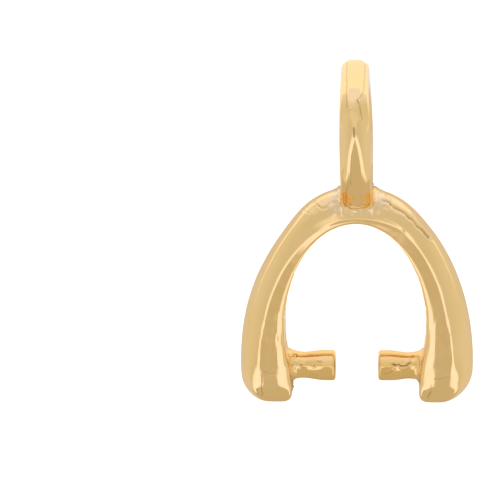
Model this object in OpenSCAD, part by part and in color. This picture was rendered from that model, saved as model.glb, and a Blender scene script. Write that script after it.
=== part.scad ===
// Pinch bail: a D-section yoke with two pegs that close on a drilled stone, and a soldered ring for the chain.
// Everything is drawn upright, feet on Z = 0, front at -Y, then laid on its back as it rests on a table.

/* [Yoke] */
// Width over the legs at their widest
yoke_w = 10.05; // [9.4:0.05:11.4]
// Height of the crown's top above the feet
crown_h = 9.42; // [9:0.02:10]
// Thickness of the crown at its top
crown_t = 1.4; // [1.2:0.05:1.7]
// Widest distance between the legs
gap_w = 6.06; // [5.4:0.05:6.4]
// Height at which the outer curve of the crown starts
outer_spring_h = 1.8; // [1.4:0.1:2.8]
// Height at which the inner curve of the crown starts
inner_spring_h = 3.5; // [3.1:0.1:4]
// Front-to-back depth of the crown
crown_depth = 1.88; // [1.6:0.02:2.2]

/* [Feet] */
// Distance between the feet, which lean in a little
foot_gap = 5.52; // [5:0.02:5.8]
// Width over the feet, before their outer corners are rounded
foot_w = 9.85; // [9.3:0.05:10.4]
// Front-to-back depth of the feet
foot_depth = 2.12; // [2:0.02:2.4]
// Radius of each foot's outer corner
foot_outer_r = 1.4; // [1:0.05:1.7]
// Radius of each foot's inner corner
foot_inner_r = 0.5; // [0.2:0.05:0.55]
// Radius of each foot's front and back corners
foot_side_r = 0.92; // [0.5:0.02:0.96]

/* [Pegs] */
// Diameter of the peg's end, which enters the stone
peg_d = 1.32; // [1.2:0.02:1.6]
// Diameter of the peg's waist
peg_waist_d = 1.14; // [0.9:0.02:1.18]
// Height of the pegs' axis above the feet
peg_h = 1.61; // [1.5:0.01:1.8]
// Distance between the two peg ends
peg_tip_gap = 1.85; // [1.5:0.05:2.3]
// Length of the straight band at the peg's end
peg_land = 0.34; // [0.3:0.02:0.5]
// Rounding of the peg's end
peg_end_r = 0.12; // [0.05:0.01:0.2]
// Diameter where the peg flares into the leg
peg_root_d = 1.4; // [1.3:0.02:1.5]

/* [Ring] */
// Height of the ring hole's centre above the crown's top
ring_h = 2.44; // [2.3:0.02:2.6]
// Distance by which the ring is soldered in front of the crown's middle
ring_forward = 0.13; // [0:0.01:0.2]
// Diameter of the ring's hole
ring_hole_d = 3.7; // [3.4:0.05:3.9]
// Radius to the ring's crest, before its soft corners
ring_crest_r = 3.05; // [2.95:0.05:3.2]
// Width of the ring, front view
ring_w = 1.32; // [1.2:0.02:1.7]
// Width of the hole's flat wall between its rounded rims
ring_wall_w = 1.1; // [1:0.02:1.2]

/* [Solder] */
// Width of the solder fillet along the crown
solder_w = 2.2; // [1.8:0.1:2.6]
// Front-to-back size of the solder fillet
solder_depth = 2.5; // [2.2:0.1:2.8]
// Height of the solder fillet
solder_t = 0.9; // [0.7:0.1:1.2]
// Depth of the fillet's middle below the crown's top
solder_sink = 0.25; // [0.1:0.05:0.4]

/* [Hidden] */
gold = [0.87, 0.72, 0.45];
cast_gold = [0.84, 0.69, 0.42];
solder_gold = [0.82, 0.74, 0.52];

// The hand-made ring is a soft pentagon: angle from the back over the top, and the crest's rise as a share of
// ring_crest_r.
RING_CORNERS = [ // [angle, rise]
    [-27, -0.036], [15, 0.016], [58, 0.069], [82, 0.033], [106, -0.03], [143, 0.04],
    [172, -0.016], [207, -0.05], [244, 0.052], [270, 0.05], [297, 0.06],
];
// The ring narrows by this share towards its top, and its dome starts this far up its wall.
RING_NARROWS = 0.1;
RING_DOME_START = 0.26;
// How the D section changes from the feet to the crown's top: the dome's and the inner corners' shares of its
// thickness. The dome has its leg's share from DOME_TOP of the inner curve's height upwards.
FOOT_DOME = 0.32;
LEG_DOME = 0.49;
CROWN_DOME = 0.76;
DOME_TOP = 1.1;
FOOT_CORNER = 0.25;
CROWN_CORNER = 0.12;
// The legs lean in below the inner curve, down to this share of its height.
LEAN_END = 0.17;
cap_steps = 5;
leg_steps = 3;
crown_steps = 12;
dome_steps = 5;
ring_steps = 48;

gap_top_h = crown_h - crown_t;
ring_hole_r = ring_hole_d / 2;
ring_z = crown_h + ring_h; // the hole's centre, above the feet
// How far the ring's blank reaches into its hole before it is drilled.
seam = (ring_crest_r - ring_hole_r) / 12;

// Shared curves
// Eases from 0 to 1 with level ends.
function ease(t) = let (c = min(1, max(0, t))) c * c * (3 - 2 * c);
function mix(a, b, t) = a + (b - a) * t;
// How far a rounded corner of radius r has pulled the surface in at distance z from its end.
function corner_inset(r, z) = z >= r ? 0 : r - sqrt(r * r - (r - z) * (r - z));

// Yoke
// Half the width to the leg's inner face and to its crest, at height z below the crown.
function leg_inner(z) = mix(foot_gap, gap_w, ease((z / inner_spring_h - LEAN_END) / (1 - LEAN_END))) / 2 + corner_inset(foot_inner_r, z);
function leg_outer(z) = mix(foot_w, yoke_w, ease(z / outer_spring_h)) / 2 - corner_inset(foot_outer_r, z);
function yoke_depth(z) = mix(foot_depth, crown_depth, min(1, z / gap_top_h)) - 2 * corner_inset(foot_side_r, z);
function leg_dome(z) = mix(FOOT_DOME, LEG_DOME, ease(z / (DOME_TOP * inner_spring_h)));
function yoke_corner(z) = mix(FOOT_CORNER, CROWN_CORNER, z / gap_top_h);
// Where the crest's arc stands opposite the foot of the inner arc.
crest_start = asin((inner_spring_h - outer_spring_h) / (crown_h - outer_spring_h));
function crown_inner(t) = [gap_w / 2 * cos(t), inner_spring_h + (gap_top_h - inner_spring_h) * sin(t)];
function crown_outer(t) = let (a = mix(crest_start, 90, t / 90))
    [yoke_w / 2 * cos(a), outer_spring_h + (crown_h - outer_spring_h) * sin(a)];
function leg_station(z) = let (a = asin(max(0, z - outer_spring_h) / (crown_h - outer_spring_h)))
    [[leg_inner(z), z], [z > outer_spring_h ? yoke_w / 2 * cos(a) : leg_outer(z), z], yoke_depth(z) / 2,
        leg_dome(z), yoke_corner(z)];
function crown_station(t) = let (z = crown_inner(t).y)
    [crown_inner(t), crown_outer(t), yoke_depth(z) / 2, mix(leg_dome(z), CROWN_DOME, pow(sin(t), 2)), yoke_corner(z)];

// One side's stations from the foot to the crown's top: [inner point, crest point, half depth, dome share,
// corner share].
SIDE = concat(
    [for (i = [0 : cap_steps]) leg_station(foot_outer_r * (1 - cos(90 * i / cap_steps)))],
    [for (i = [1 : leg_steps]) leg_station(mix(foot_outer_r, inner_spring_h, i / leg_steps))],
    [for (i = [1 : crown_steps]) crown_station(90 * i / crown_steps)]);
function mirrored(s) = [[-s[0].x, s[0].y], [-s[1].x, s[1].y], s[2], s[3], s[4]];
STATIONS = concat(SIDE, [for (i = [len(SIDE) - 2 : -1 : 0]) mirrored(SIDE[i])]);

// One half of the D, back side: [share of the way to the crest, share of the half depth].
function d_half(dome, corner) = concat(
    [for (i = [0 : 2]) [corner * (1 - cos(45 * i)), 1 - corner * (1 - sin(45 * i))]],
    [for (i = [0 : dome_steps - 1]) [1 - dome + dome * sin(90 * i / dome_steps), cos(90 * i / dome_steps)]]);
function d_section(dome, corner) = let (half = d_half(dome, corner))
    concat(half, [[1, 0]], [for (i = [len(half) - 1 : -1 : 0]) [half[i].x, -half[i].y]]);

// Skins a row of sections, each a closed list of points, and caps the ends unless the row is a loop.
module skin(sections, loop = false) {
    n = len(sections[0]);
    last = len(sections) - (loop ? 0 : 1);
    sides = [for (i = [0 : last - 1], j = [0 : n - 1]) let (
        a = i * n, b = ((i + 1) % len(sections)) * n, k = (j + 1) % n)
        each [[a + j, b + k, a + k], [a + j, b + j, b + k]]];
    ends = loop ? [] : [[for (j = [0 : n - 1]) j], [for (j = [n - 1 : -1 : 0]) last * n + j]];
    polyhedron(points = [for (s = sections) each s], faces = concat(sides, ends), convexity = 8);
}

// The cast arch with its two legs and rounded feet.
module yoke() {
    color(gold) skin([for (s = STATIONS) [for (q = d_section(s[3], s[4]))
        let (p = mix(s[0], s[1], q.x)) [p.x, -q.y * s[2], p.y]]]);
}

// One cast peg on the +X leg: flared root, waist, straight band and rounded end.
module peg() {
    leg_x = leg_inner(peg_h);
    root_x = (leg_x + leg_outer(peg_h)) / 2; // the casting runs on into the middle of the leg
    tip_x = peg_tip_gap / 2;
    land_x = tip_x + peg_end_r;
    waist_x = mix(land_x + peg_land, leg_x, 0.6);
    color(cast_gold) translate([0, 0, peg_h]) rotate([0, 90, 0]) rotate_extrude($fn = 40) polygon(concat(
        [[0, tip_x]],
        [for (a = [0 : 30 : 90]) [peg_d / 2 - peg_end_r * (1 - sin(a)), tip_x + peg_end_r * (1 - cos(a))]],
        [for (t = [0 : 0.25 : 1]) [mix(peg_d, peg_waist_d, ease(t)) / 2, mix(land_x + peg_land, waist_x, t)]],
        [for (t = [0.25 : 0.25 : 1]) [mix(peg_waist_d, peg_root_d, t * t) / 2, mix(waist_x, leg_x, t)]],
        [[peg_root_d / 2, root_x], [0, root_x]]));
}

// Ring
// Row i of the ring's corners, counted round and round.
function corner(i) = let (n = len(RING_CORNERS), turn = floor(i / n)) RING_CORNERS[i - turn * n] + [360 * turn, 0];
function corner_slope(i) = let (d = corner(i + 1) - corner(i - 1)) d.y / d.x;
// A smooth curve through the corners: each span is a cubic that meets its neighbours' slopes.
function corner_rise(a, i = 0) = a > corner(i + 1).x ? corner_rise(a, i + 1) : let (
    from = corner(i), to = corner(i + 1), span = to.x - from.x, t = (a - from.x) / span)
    mix(from.y, to.y, ease(t)) + span * t * (1 - t) * ((1 - t) * corner_slope(i) - t * corner_slope(i + 1));
function crest_r(a) = ring_crest_r * (1 + corner_rise(a < RING_CORNERS[0].x ? a + 360 : a));
function ring_half_w(a) = ring_w / 2 * (1 - RING_NARROWS * max(0, sin(a)));

// The D-shaped wire of the ring, bent to its soft corners, with the hole left undersize for drilling.
module ring_blank() {
    rim = (ring_w - ring_wall_w) / 2;
    color(gold) translate([0, -ring_forward, ring_z]) skin(loop = true, sections =
        [for (i = [0 : ring_steps - 1]) let (
            a = 360 * i / ring_steps, wall = crest_r(a) - ring_hole_r, half_w = ring_half_w(a),
            edge = min(rim, 0.7 * RING_DOME_START * wall),
            half = concat(
                [[-seam, half_w - rim * (1 + 0.75 * seam / edge)], [edge, half_w - rim / 4]],
                [for (k = [0 : dome_steps - 1]) let (t = 90 * k / dome_steps)
                    [wall * mix(RING_DOME_START, 1, sin(t)), half_w * cos(t)]]))
            [for (q = concat(half, [[wall, 0]], [for (k = [len(half) - 1 : -1 : 0]) [half[k].x, -half[k].y]]))
                [q.y, (ring_hole_r + q.x) * cos(a), (ring_hole_r + q.x) * sin(a)]]]);
}

// The solder that saddles the ring on the crown.
module solder() {
    color(solder_gold) translate([0, 0, crown_h - solder_sink])
        scale([solder_w, solder_depth, solder_t]) sphere(d = 1, $fn = 24);
}

// Yoke, pegs and ring are one piece of metal once they are soldered.
module upright_bail() {
    difference() {
        union() {
            yoke();
            peg();
            mirror([1, 0, 0]) peg();
            ring_blank();
            solder();
        }
        translate([-ring_w, -ring_forward, ring_z]) rotate([0, 90, 0]) cylinder(r = ring_hole_r, h = 2 * ring_w, $fn = 72);
    }
}

// Rest
// On its back the bail leans on the ring's back and on both feet's back corners, so it slopes by this angle.
function foot_y(t) = foot_depth / 2 - foot_side_r * (1 - cos(t));
function foot_z(t) = foot_side_r * (1 - sin(t));
function crest(a) = [crest_r(a) * cos(a) - ring_forward, ring_z + crest_r(a) * sin(a)];
RING_BACK = [for (a = [-40 : 1 : 40]) crest(a)];
function lean(steps, t) = steps == 0 ? t
    : lean(steps - 1, max([for (p = RING_BACK) atan2(p.x - foot_y(t), p.y - foot_z(t))]));
rest_lean = lean(4, 10);
rest_drop = foot_y(rest_lean) * cos(rest_lean) - foot_z(rest_lean) * sin(rest_lean);
far_end = max([for (a = [40 : 2 : 140]) crest(a).y * cos(rest_lean) + crest(a).x * sin(rest_lean)]);
near_end = foot_side_r * cos(rest_lean) - (foot_depth / 2 - foot_side_r) * sin(rest_lean) - foot_side_r;

module bail() {
    translate([0, -(far_end + near_end) / 2, rest_drop]) rotate([rest_lean - 90, 0, 0]) upright_bail();
}

bail();
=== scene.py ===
import logging
import math
from dataclasses import dataclass, field
from enum import Enum

import bpy
import numpy as np
from mathutils import Matrix, Vector
from mathutils.bvhtree import BVHTree

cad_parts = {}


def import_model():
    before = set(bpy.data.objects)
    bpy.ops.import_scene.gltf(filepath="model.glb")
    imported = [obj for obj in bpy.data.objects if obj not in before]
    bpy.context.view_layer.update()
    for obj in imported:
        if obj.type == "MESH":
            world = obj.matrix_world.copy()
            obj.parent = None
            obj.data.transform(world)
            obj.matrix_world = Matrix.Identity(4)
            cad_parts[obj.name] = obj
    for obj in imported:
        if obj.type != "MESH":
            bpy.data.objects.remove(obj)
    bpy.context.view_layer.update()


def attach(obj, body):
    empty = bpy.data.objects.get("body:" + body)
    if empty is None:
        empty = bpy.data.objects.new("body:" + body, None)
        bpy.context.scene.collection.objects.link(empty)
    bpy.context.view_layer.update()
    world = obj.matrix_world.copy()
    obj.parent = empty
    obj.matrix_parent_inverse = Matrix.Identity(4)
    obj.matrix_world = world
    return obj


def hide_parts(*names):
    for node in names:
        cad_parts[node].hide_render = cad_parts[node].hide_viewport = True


log = logging.getLogger("pinch_bail")

MM = 0.001
BODY = "root"
NODE = "bail"

Socket = bpy.types.NodeSocket
Triple = tuple[float, float, float]
Pair = tuple[float, float]
Table = tuple[tuple[float, ...], ...]


class Side(Enum):
    """The two legs of the bail, by the sign of X."""

    LEFT = -1
    RIGHT = 1


class Mask(Enum):
    """Where a finish or painted shade shows, stored on the mesh as one number per point."""

    CAST = "cast_skin"
    SOLDER = "solder_skin"
    FLUSH = "orange_flush"
    # Painted shade: dark colour in the worn lines and pits.
    RESIDUE = "painted_line_shade"


# Curves that several pieces share


def ease(t: np.ndarray | float) -> np.ndarray:
    """Eases from 0 to 1 with level ends."""
    c = np.clip(t, 0.0, 1.0)
    return c * c * (3.0 - 2.0 * c)


def mix(a: np.ndarray | float, b: np.ndarray | float, t: np.ndarray | float) -> np.ndarray:
    """Goes from a at t 0 to b at t 1."""
    return a + (b - a) * t


def ramp(x: np.ndarray | float, low: float, high: float) -> np.ndarray:
    """Eases from 0 at low to 1 at high, which may be the smaller of the two."""
    return ease((x - low) / (high - low))


def spread(count: int) -> np.ndarray:
    """Even steps from 0 up to 1, which the next stretch starts with."""
    return np.linspace(0, 1, count + 1)[:-1]


def window(x: np.ndarray, low: float, high: float, soft: float) -> np.ndarray:
    """Is 1 between low and high, 0 outside, and eases over soft at both ends."""
    return ease((x - low) / soft + 0.5) * ease((high - x) / soft + 0.5)


def bell(x: np.ndarray) -> np.ndarray:
    """A soft bump, 1 at 0 and almost 0 beyond 1 either way."""
    return np.exp(-2.5 * x * x)


def corner_inset(radius: float, height: np.ndarray) -> np.ndarray:
    """How far a rounded corner pulls the surface in, at a height above the corner's end."""
    gap = np.clip(radius - height, 0.0, radius)
    return radius - np.sqrt(radius * radius - gap * gap)


def bend(start: np.ndarray, control: np.ndarray, end: np.ndarray, t: np.ndarray) -> np.ndarray:
    """A soft corner: the quadratic curve from start to end that leans towards control."""
    t = t[:, None]
    return (1 - t) ** 2 * start + 2 * t * (1 - t) * control + t * t * end


def through(knots: np.ndarray, x: np.ndarray) -> np.ndarray:
    """A smooth curve through a few knots.

    Args:
        knots: rows of [place, value], with the places rising.
        x: places to read, between the first and the last knot.

    Returns:
        The curve's values: each span is a cubic that meets its neighbours' slopes.
    """
    place, value = knots.T
    before, after = np.roll(knots, 1, 0), np.roll(knots, -1, 0)
    before[0], after[-1] = knots[0], knots[-1]
    rise = (after[:, 1] - before[:, 1]) / (after[:, 0] - before[:, 0])
    i = np.clip(np.searchsorted(place, x, side="right") - 1, 0, len(place) - 2)
    span = place[i + 1] - place[i]
    t = np.clip((x - place[i]) / span, 0.0, 1.0)
    bulge = span * t * (1 - t) * ((1 - t) * rise[i] - t * rise[i + 1])
    return mix(value[i], value[i + 1], ease(t)) + bulge


@dataclass(frozen=True)
class Grain:
    """Smooth random relief in space, the same on every run.

    Args:
        seed: picks the relief.
        size: distance between its bumps, in mm.
        octaves: how many layers it has, each half as large and half as strong as the one before.
        height: how far it rises and falls, in mm or as a share.
        stretch: what the places are multiplied by, so that the bumps are long where it is small.
        cells: how many random values it has each way before it repeats.
        shift: how far each layer is moved on, in cells, so that the layers don't line up.
        gain: makes up for what blending takes off the height.
    """

    seed: int
    size: float
    octaves: int = 1
    height: float = 1.0
    stretch: Triple = (1.0, 1.0, 1.0)
    cells: int = 24
    shift: float = 5.3
    gain: float = 1.4

    def at(self, points: np.ndarray) -> np.ndarray:
        """Reads the relief.

        Args:
            points: places in mm, one row each.

        Returns:
            One value per row, from about -height to height.
        """
        table = np.random.default_rng(self.seed).uniform(-1.0, 1.0, (self.cells,) * 3)
        total = np.zeros(len(points))
        strength = 0.0
        for octave in range(self.octaves):
            scaled = points * self.stretch / self.size * 2**octave + self.shift * (octave + 1)
            cell = np.floor(scaled).astype(int)
            share = ease(scaled - cell)
            value = np.zeros(len(points))
            for corner in np.ndindex(2, 2, 2):
                weight = np.prod(np.where(np.array(corner), share, 1.0 - share), axis=1)
                x, y, z = ((cell + np.array(corner)) % self.cells).T
                value += weight * table[x, y, z]
            total += value * 0.5**octave
            strength += 0.5**octave
        return total / strength * self.gain * self.height


@dataclass(frozen=True)
class Rest:
    """How the bail lies on its back: the pieces are shaped upright, in mm, and laid down here.

    Args:
        lean: its slope, in radians.
        drop: how far it is moved up onto the table once it is sloped, in mm.
        along: how far it is moved back along the table, in mm.
    """

    lean: float = math.radians(9.4766)
    drop: float = 0.9066
    along: float = 7.4117

    def lay_down(self, points: np.ndarray) -> np.ndarray:
        """Turns upright points in mm into row-frame points in metres.

        Args:
            points: one upright point a row, feet at Z 0 and front at -Y.

        Returns:
            The same points as the bail rests, in metres.
        """
        x, y, z = points.T
        cos, sin = math.cos(self.lean), math.sin(self.lean)
        return MM * np.stack([x, z * cos + y * sin - self.along, z * sin - y * cos + self.drop], axis=1)

    def direction(self, way: Triple) -> Vector:
        """Turns an upright direction into a row-frame direction.

        Args:
            way: right, back and up in the upright bail's frame.

        Returns:
            The unit vector as the bail rests.
        """
        x, y, z = way
        cos, sin = math.cos(self.lean), math.sin(self.lean)
        return Vector((x, z * cos + y * sin, z * sin - y * cos)).normalized()


REST = Rest()


# Meshes


@dataclass
class Sheet:
    """A closed skin of rows of points, before it becomes a piece.

    Args:
        points: upright points in mm, as rows by columns by 3.
        loop_rows: whether the last row joins the first; otherwise both ends are capped.
        masks: one array a finish or painted shade, one value a point.
    """

    points: np.ndarray
    loop_rows: bool
    masks: dict[Mask, np.ndarray] = field(default_factory=dict)

    def __post_init__(self) -> None:
        """Starts every mask at 0."""
        for mask in Mask:
            self.masks.setdefault(mask, np.zeros(self.points.shape[:2]))

    def flat(self) -> np.ndarray:
        """The points as one list."""
        return self.points.reshape(-1, 3)

    def normals(self) -> np.ndarray:
        """Works out the outward direction at each point from its neighbours.

        Returns:
            Unit vectors, one a point, as one list.
        """
        p = self.points
        across = np.roll(p, -1, 1) - np.roll(p, 1, 1)
        if self.loop_rows:
            along = np.roll(p, -1, 0) - np.roll(p, 1, 0)
        else:
            along = np.gradient(p, axis=0)
        n = np.cross(across, along).reshape(-1, 3)
        return n / np.maximum(np.linalg.norm(n, axis=1, keepdims=True), 1e-12)

    def push(self, distance: np.ndarray) -> None:
        """Moves each point out along its normal by its own distance in mm."""
        moved = self.flat() + self.normals() * distance.reshape(-1, 1)
        self.points = moved.reshape(self.points.shape)

    def mark(self, mask: Mask, values: np.ndarray) -> None:
        """Raises a mask to the given values, one a point, where they are higher."""
        self.masks[mask] = np.maximum(self.masks[mask], values.reshape(self.points.shape[:2]))

    def inner_share(self, end: int, fade: int = 6) -> np.ndarray:
        """Picks out the face that the sections start in the middle of.

        Args:
            end: the column where the face ends, counted either way.
            fade: over how many columns before that it fades out.

        Returns:
            1 on the face and 0 past its end, one value a point, as one list.
        """
        cols = self.points.shape[1]
        column = np.minimum(np.arange(cols), cols - np.arange(cols))
        return np.broadcast_to(ramp(column, end, end - fade), self.points.shape[:2]).reshape(-1)

    def quads(self) -> list[tuple[int, ...]]:
        """Joins the rows with quads, their normals outward.

        Returns:
            Four point numbers a quad.
        """
        rows, cols = self.points.shape[:2]
        index = np.arange(rows * cols).reshape(rows, cols)
        lower = index if self.loop_rows else index[:-1]
        upper = np.roll(index, -1, 0) if self.loop_rows else index[1:]
        quads = np.stack([lower, np.roll(lower, -1, 1), np.roll(upper, -1, 1), upper], axis=-1)
        return [tuple(q) for q in quads.reshape(-1, 4).tolist()]

    def caps(self) -> list[tuple[int, ...]]:
        """Closes open ends with a fan to the two middle points after the grid.

        Returns:
            Three point numbers a triangle, and none for a closed loop.
        """
        if self.loop_rows:
            return []
        rows, cols = self.points.shape[:2]
        count, last = rows * cols, (rows - 1) * cols
        faces = [(count, (j + 1) % cols, j) for j in range(cols)]
        return faces + [(count + 1, last + j, last + (j + 1) % cols) for j in range(cols)]

    def vertices(self) -> np.ndarray:
        """Lists every point of the mesh.

        Returns:
            The grid's points, then the caps' middle points.
        """
        if self.loop_rows:
            return self.flat()
        return np.vstack([self.flat(), self.points[0].mean(0), self.points[-1].mean(0)])

    def tree(self) -> BVHTree:
        """A search tree of the skin in mm, without its caps, which lie inside other pieces or far off."""
        return BVHTree.FromPolygons(self.flat().tolist(), self.quads())

    def piece(self, name: str, finish: "GoldSkin") -> bpy.types.Object:
        """Makes the piece, lays it down, dresses it and lets it ride on the bail.

        Args:
            name: the piece's name.
            finish: its material.

        Returns:
            The new object.
        """
        mesh = bpy.data.meshes.new(name)
        mesh.from_pydata(REST.lay_down(self.vertices()).tolist(), [], self.quads() + self.caps())
        mesh.shade_smooth()
        for mask, values in self.masks.items():
            layer = mesh.attributes.new(mask.value, "FLOAT", "POINT")
            flat = np.zeros(len(mesh.vertices), np.float32)
            flat[: values.size] = np.clip(values, 0.0, 1.0).reshape(-1)
            layer.data.foreach_set("value", flat)
        mesh.materials.append(finish.material())
        made = bpy.data.objects.new(name, mesh)
        bpy.context.scene.collection.objects.link(made)
        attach(made, BODY)
        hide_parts(NODE)
        log.info("%s: %d points, %d faces", name, len(mesh.vertices), len(mesh.polygons))
        return made


def distance_to(points: np.ndarray, tree: BVHTree, reach: float) -> np.ndarray:
    """How far each point is from another piece's skin.

    Args:
        points: upright points in mm.
        tree: the other piece's search tree.
        reach: where to stop looking, in mm.

    Returns:
        Distances in mm, below 0 inside the other piece and reach where it is further off.
    """
    found = np.full(len(points), reach)
    for i, point in enumerate(points):
        place, normal, _, gap = tree.find_nearest(Vector(point), reach)
        if place is not None:
            found[i] = gap if (Vector(point) - place).dot(normal) >= 0 else -gap
    return found


def fillet_height(gap: np.ndarray, size: np.ndarray | float) -> np.ndarray:
    """Height of a hollow fillet over a surface, so that two surfaces that meet flow into each other.

    Args:
        gap: distance from the other surface, in mm.
        size: how far the fillet reaches, in mm.

    Returns:
        How far to push each point out, in mm. It stops growing where the two fillets meet.
    """
    near = np.clip(gap, size / 4, size)
    return (np.sqrt(size) - np.sqrt(near)) ** 2


# Finishes


class Bench:
    """Adds and joins the nodes of one material or world."""

    def __init__(self, tree: bpy.types.NodeTree) -> None:
        """Starts with an empty tree."""
        self.tree = tree
        tree.nodes.clear()

    def add(self, kind: str, **settings: object) -> bpy.types.Node:
        """Adds a node.

        Args:
            kind: the node's type.
            settings: its properties by name.

        Returns:
            The new node.
        """
        node = self.tree.nodes.new(kind)
        for key, value in settings.items():
            setattr(node, key, value)
        return node

    def feed(self, target: Socket, source: object) -> None:
        """Gives an input its value.

        Args:
            target: the input.
            source: the output to link to it, or a plain value to set on it.
        """
        if isinstance(source, Socket):
            self.tree.links.new(source, target)
        else:
            target.default_value = source

    def math(self, operation: str, *values: object) -> Socket:
        """Adds a Math node.

        Args:
            operation: what it does.
            values: what it reads, sockets or numbers.

        Returns:
            Its result.
        """
        node = self.add("ShaderNodeMath", operation=operation)
        for socket, value in zip(node.inputs, values):
            self.feed(socket, value)
        return node.outputs[0]

    def dot(self, vector: Socket, way: Vector) -> Socket:
        """Measures a vector along a fixed direction.

        Args:
            vector: the vector's socket.
            way: the direction.

        Returns:
            The length along it.
        """
        node = self.add("ShaderNodeVectorMath", operation="DOT_PRODUCT")
        self.feed(node.inputs[0], vector)
        node.inputs[1].default_value = way
        return node.outputs["Value"]

    def range(self, value: Socket, low: object, high: object, start: float = 0.0, end: float = 1.0) -> Socket:
        """Eases from start at low to end at high.

        Args:
            value: what is read.
            low: the value where the change starts.
            high: the value where it ends.
            start: the result at low.
            end: the result at high.

        Returns:
            The result's socket.
        """
        node = self.add("ShaderNodeMapRange", interpolation_type="SMOOTHSTEP")
        names = "Value", "From Min", "From Max", "To Min", "To Max"
        for name, source in zip(names, (value, low, high, start, end)):
            self.feed(node.inputs[name], source)
        return node.outputs["Result"]

    def noise(self, size: float, detail: float, stretch: Triple = (1.0, 1.0, 1.0)) -> Socket:
        """Adds noise over the object.

        Args:
            size: size of the grain in mm.
            detail: how many finer layers it has.
            stretch: how much longer the grain is along X, Y and Z.

        Returns:
            The noise, around 0.5.
        """
        place = self.add("ShaderNodeTexCoord")
        mapping = self.add("ShaderNodeMapping")
        self.feed(mapping.inputs["Vector"], place.outputs["Object"])
        mapping.inputs["Scale"].default_value = [1.0 / (size * MM * s) for s in stretch]
        texture = self.add("ShaderNodeTexNoise")
        self.feed(texture.inputs["Vector"], mapping.outputs["Vector"])
        texture.inputs["Scale"].default_value = 1.0
        texture.inputs["Detail"].default_value = detail
        return texture.outputs["Fac"]

    def attribute(self, mask: Mask) -> Socket:
        """Reads a mask that the mesh carries."""
        return self.add("ShaderNodeAttribute", attribute_name=mask.value).outputs["Fac"]

    def blend(self, factor: Socket, first: object, second: object) -> Socket:
        """Blends two numbers.

        Args:
            factor: 0 for the first and 1 for the second.
            first: a socket or a number.
            second: a socket or a number.

        Returns:
            The number between them.
        """
        node = self.add("ShaderNodeMix")
        for place, source in ((0, factor), (2, first), (3, second)):
            self.feed(node.inputs[place], source)
        return node.outputs[0]

    def colours(self, factor: Socket, first: object, second: object) -> Socket:
        """Blends two colours.

        Args:
            factor: 0 for the first and 1 for the second.
            first: a socket or three numbers.
            second: a socket or three numbers.

        Returns:
            The colour between them.
        """
        node = self.add("ShaderNodeMix", data_type="RGBA")
        self.feed(node.inputs[0], factor)
        for socket, source in ((node.inputs[6], first), (node.inputs[7], second)):
            self.feed(socket, (*source, 1.0) if isinstance(source, tuple) else source)
        return node.outputs[2]


def start_material(name: str) -> tuple[bpy.types.Material, Bench, bpy.types.Node]:
    """Makes a material with a plain shader.

    Args:
        name: the material's name.

    Returns:
        The material, the bench that its nodes are joined on, and its shader.
    """
    made = bpy.data.materials.new(name)
    made.use_nodes = True
    bench = Bench(made.node_tree)
    shader = bench.add("ShaderNodeBsdfPrincipled")
    bench.feed(bench.add("ShaderNodeOutputMaterial").inputs["Surface"], shader.outputs[0])
    return made, bench, shader


@dataclass(frozen=True)
class GoldSkin:
    """Polished cast gold, with its as-cast hollows, pale solder, the orange flush left by the torch, and
    painted shade in its worn lines.

    Sizes are in mm. A change is a pair: the noise where it starts and where it ends.
    """

    name: str = "polished_cast_gold"
    gold: Triple = (1.0, 0.735, 0.36)
    warm_gold: Triple = (0.99, 0.715, 0.33)
    cast_gold: Triple = (1.0, 0.74, 0.38)
    solder: Triple = (0.94, 0.735, 0.43)
    flush: Triple = (1.0, 0.66, 0.26)
    # Painted shade: a dark colour laid into the worn lines and pits, standing in for their shade and dark
    # reflections.
    residue: Triple = (0.3, 0.17, 0.06)
    tone_size: float = 1.6
    tone_change: Pair = (0.35, 0.68)
    polish: float = 0.09
    cast_roughness: float = 0.22
    solder_roughness: float = 0.17
    line_shade_roughness: float = 0.4
    # The polish goes cloudy here and there: its roughness varies between these shares.
    haze_size: float = 0.35
    haze_change: Pair = (0.3, 0.75)
    haze_shares: Pair = (0.7, 1.5)
    # The grain shows on cast skin and solder. The wheel's rub marks run along the bail, and are far lower.
    grain_size: float = 0.07
    rub_width: float = 0.04
    rub_stretch: float = 9.0
    rub_share: float = 0.05
    bump_strength: float = 0.35
    bump_height: float = 0.01

    def material(self) -> bpy.types.Material:
        """Builds the material, or gives back the one that is there.

        Returns:
            The material, its colour, roughness and bump all from nodes.
        """
        made = bpy.data.materials.get(self.name)
        if made is not None:
            return made
        made, bench, shader = start_material(self.name)
        shader.inputs["Metallic"].default_value = 1.0

        cast, solder, flush, residue = (bench.attribute(mask) for mask in Mask)
        tone = bench.range(bench.noise(self.tone_size, 3.0), *self.tone_change)
        colour = bench.colours(tone, self.gold, self.warm_gold)
        colour = bench.colours(cast, colour, self.cast_gold)
        colour = bench.colours(solder, colour, self.solder)
        colour = bench.colours(flush, colour, self.flush)
        # Painted shade darkens the worn lines.
        colour = bench.colours(residue, colour, self.residue)
        bench.feed(shader.inputs["Base Color"], colour)

        clear, cloudy = (self.polish * share for share in self.haze_shares)
        rough = bench.range(bench.noise(self.haze_size, 4.0), *self.haze_change, clear, cloudy)
        rough = bench.blend(cast, rough, self.cast_roughness)
        rough = bench.blend(solder, rough, self.solder_roughness)
        rough = bench.blend(residue, rough, self.line_shade_roughness)
        bench.feed(shader.inputs["Roughness"], rough)

        grain = bench.math("MULTIPLY", bench.noise(self.grain_size, 2.0), bench.math("MAXIMUM", cast, solder))
        rub = bench.noise(self.rub_width, 1.0, (1.0, self.rub_stretch, 1.0))
        relief = bench.math("ADD", grain, bench.math("MULTIPLY", rub, self.rub_share))
        bump = bench.add("ShaderNodeBump")
        bump.inputs["Strength"].default_value = self.bump_strength
        bump.inputs["Distance"].default_value = self.bump_height * MM
        bench.feed(bump.inputs["Height"], relief)
        bench.feed(shader.inputs["Normal"], bump.outputs["Normal"])
        return made


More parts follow.
